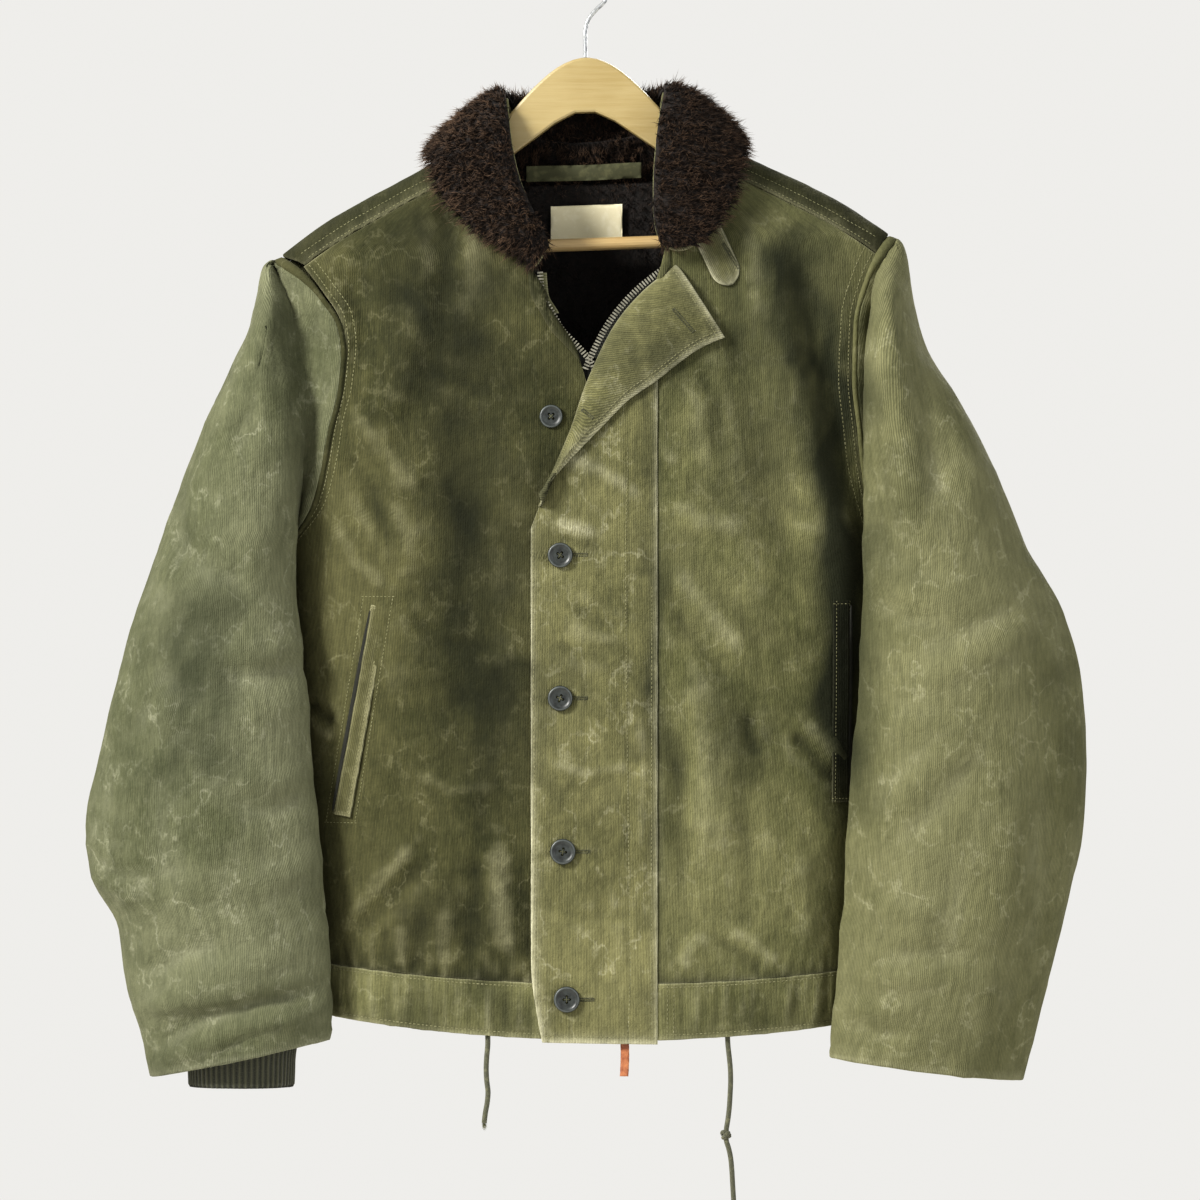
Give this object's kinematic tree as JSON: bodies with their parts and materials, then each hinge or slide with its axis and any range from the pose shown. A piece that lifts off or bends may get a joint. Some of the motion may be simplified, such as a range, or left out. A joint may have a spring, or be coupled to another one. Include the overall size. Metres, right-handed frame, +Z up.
{
  "type": "deck jacket on a hanger",
  "caption": "Buttoned olive cotton deck jacket with a brown fur-pile collar, slant pockets and a waist drawcord, on a wooden hanger.",
  "frame": {"origin": "inside the top of the hanger hook's crook, where it rests on a rail", "axes": "+Z up, -Y out of the jacket's front, +X towards the wearer's left"},
  "size_m": [0.7766, 0.1329, 0.9673],
  "materials": {
    "cotton_shell": "matt corded cotton, worn pale at edges and folds",
    "sleeve_cotton": "the same cotton, faded",
    "fur_pile": "dense brown pile with lighter tips",
    "pile_lining": "near black pile",
    "cotton_tape": "woven khaki tape",
    "zip_tape": "black woven tape",
    "rib_knit": "dark ribbed knit",
    "label_cloth": "blank cream woven label",
    "drawcord": "braided olive cord",
    "buttons": "dark grey-green, dull",
    "tab_leather": "rust brown, worn",
    "hanger_wood": "clear satin varnish",
    "hanger_dowel": "pale dowel",
    "hook_steel": "bright plated wire"
  },
  "bodies": {
    "root": {"front_right": "cotton_shell", "front_left": "cotton_shell", "placket": "cotton_shell", "lapel": "cotton_shell", "back": "cotton_shell", "yoke_right": "cotton_shell", "yoke_left": "cotton_shell", "waistband_front_right": "cotton_shell", "waistband_front_left": "cotton_shell", "waistband_back": "cotton_shell", "under_collar": "cotton_shell", "throat_tab": "cotton_shell", "pocket_welt_right": "cotton_shell", "pocket_welt_left": "cotton_shell", "sleeve_right_front": "sleeve_cotton", "sleeve_right_back": "sleeve_cotton", "sleeve_left_front": "sleeve_cotton", "sleeve_left_back": "sleeve_cotton", "collar_fur": "fur_pile", "lining_back": "pile_lining", "hanger_loop": "cotton_tape", "zip_facing_right": "cotton_tape", "zip_tape_right": "zip_tape", "zip_tape_left": "zip_tape", "knit_cuff_right": "rib_knit", "knit_cuff_left": "rib_knit", "neck_label": "label_cloth", "drawcord_right": "drawcord", "drawcord_left": "drawcord", "drawcord_knot": "drawcord", "drawcord_left_tail": "drawcord", "button_1": "buttons", "button_2": "buttons", "button_3": "buttons", "button_4": "buttons", "button_5": "buttons", "leather_tab": "tab_leather", "hanger_body": "hanger_wood", "hanger_bar": "hanger_dowel", "hanger_hook": "hook_steel"}
  },
  "joints": []
}
